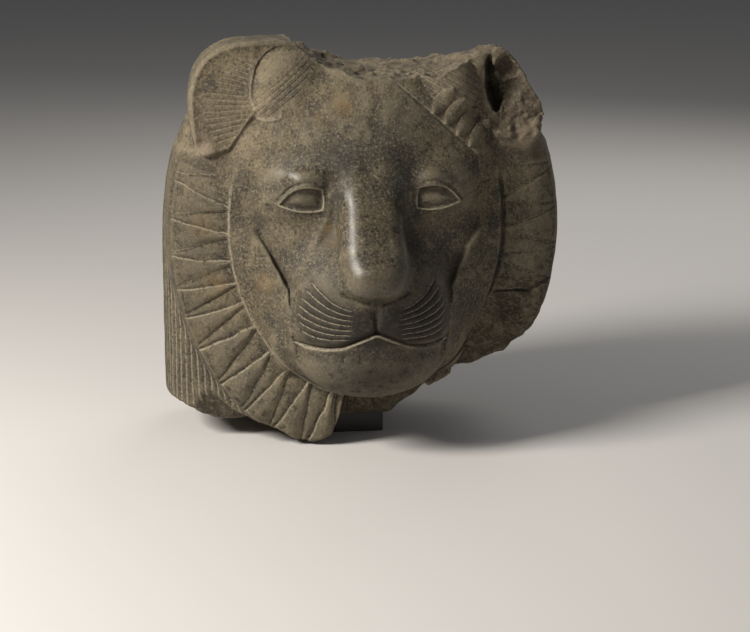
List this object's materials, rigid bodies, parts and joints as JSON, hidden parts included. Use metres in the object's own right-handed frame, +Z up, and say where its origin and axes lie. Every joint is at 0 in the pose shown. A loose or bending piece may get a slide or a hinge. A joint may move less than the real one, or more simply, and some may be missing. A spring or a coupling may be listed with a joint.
{
  "type": "sekhmet head sculpture",
  "caption": "Broken stone head of a lioness goddess with a lock-carved ruff, striped wig and rounded ear, standing on a short dark metal post for display.",
  "frame": {"origin": "on the floor under the middle of the whole object's bounding box", "axes": "+Z up, the face looks along -Y, +X to the viewer's right"},
  "size_m": [0.509, 0.3808, 0.5139],
  "materials": {
    "stone": "worn polish on the face, matt in the carved ruff and on the breaks",
    "post_metal": "dark satin paint"
  },
  "bodies": {
    "root": {"lioness_head": "stone", "mount_post": "post_metal"}
  },
  "joints": []
}
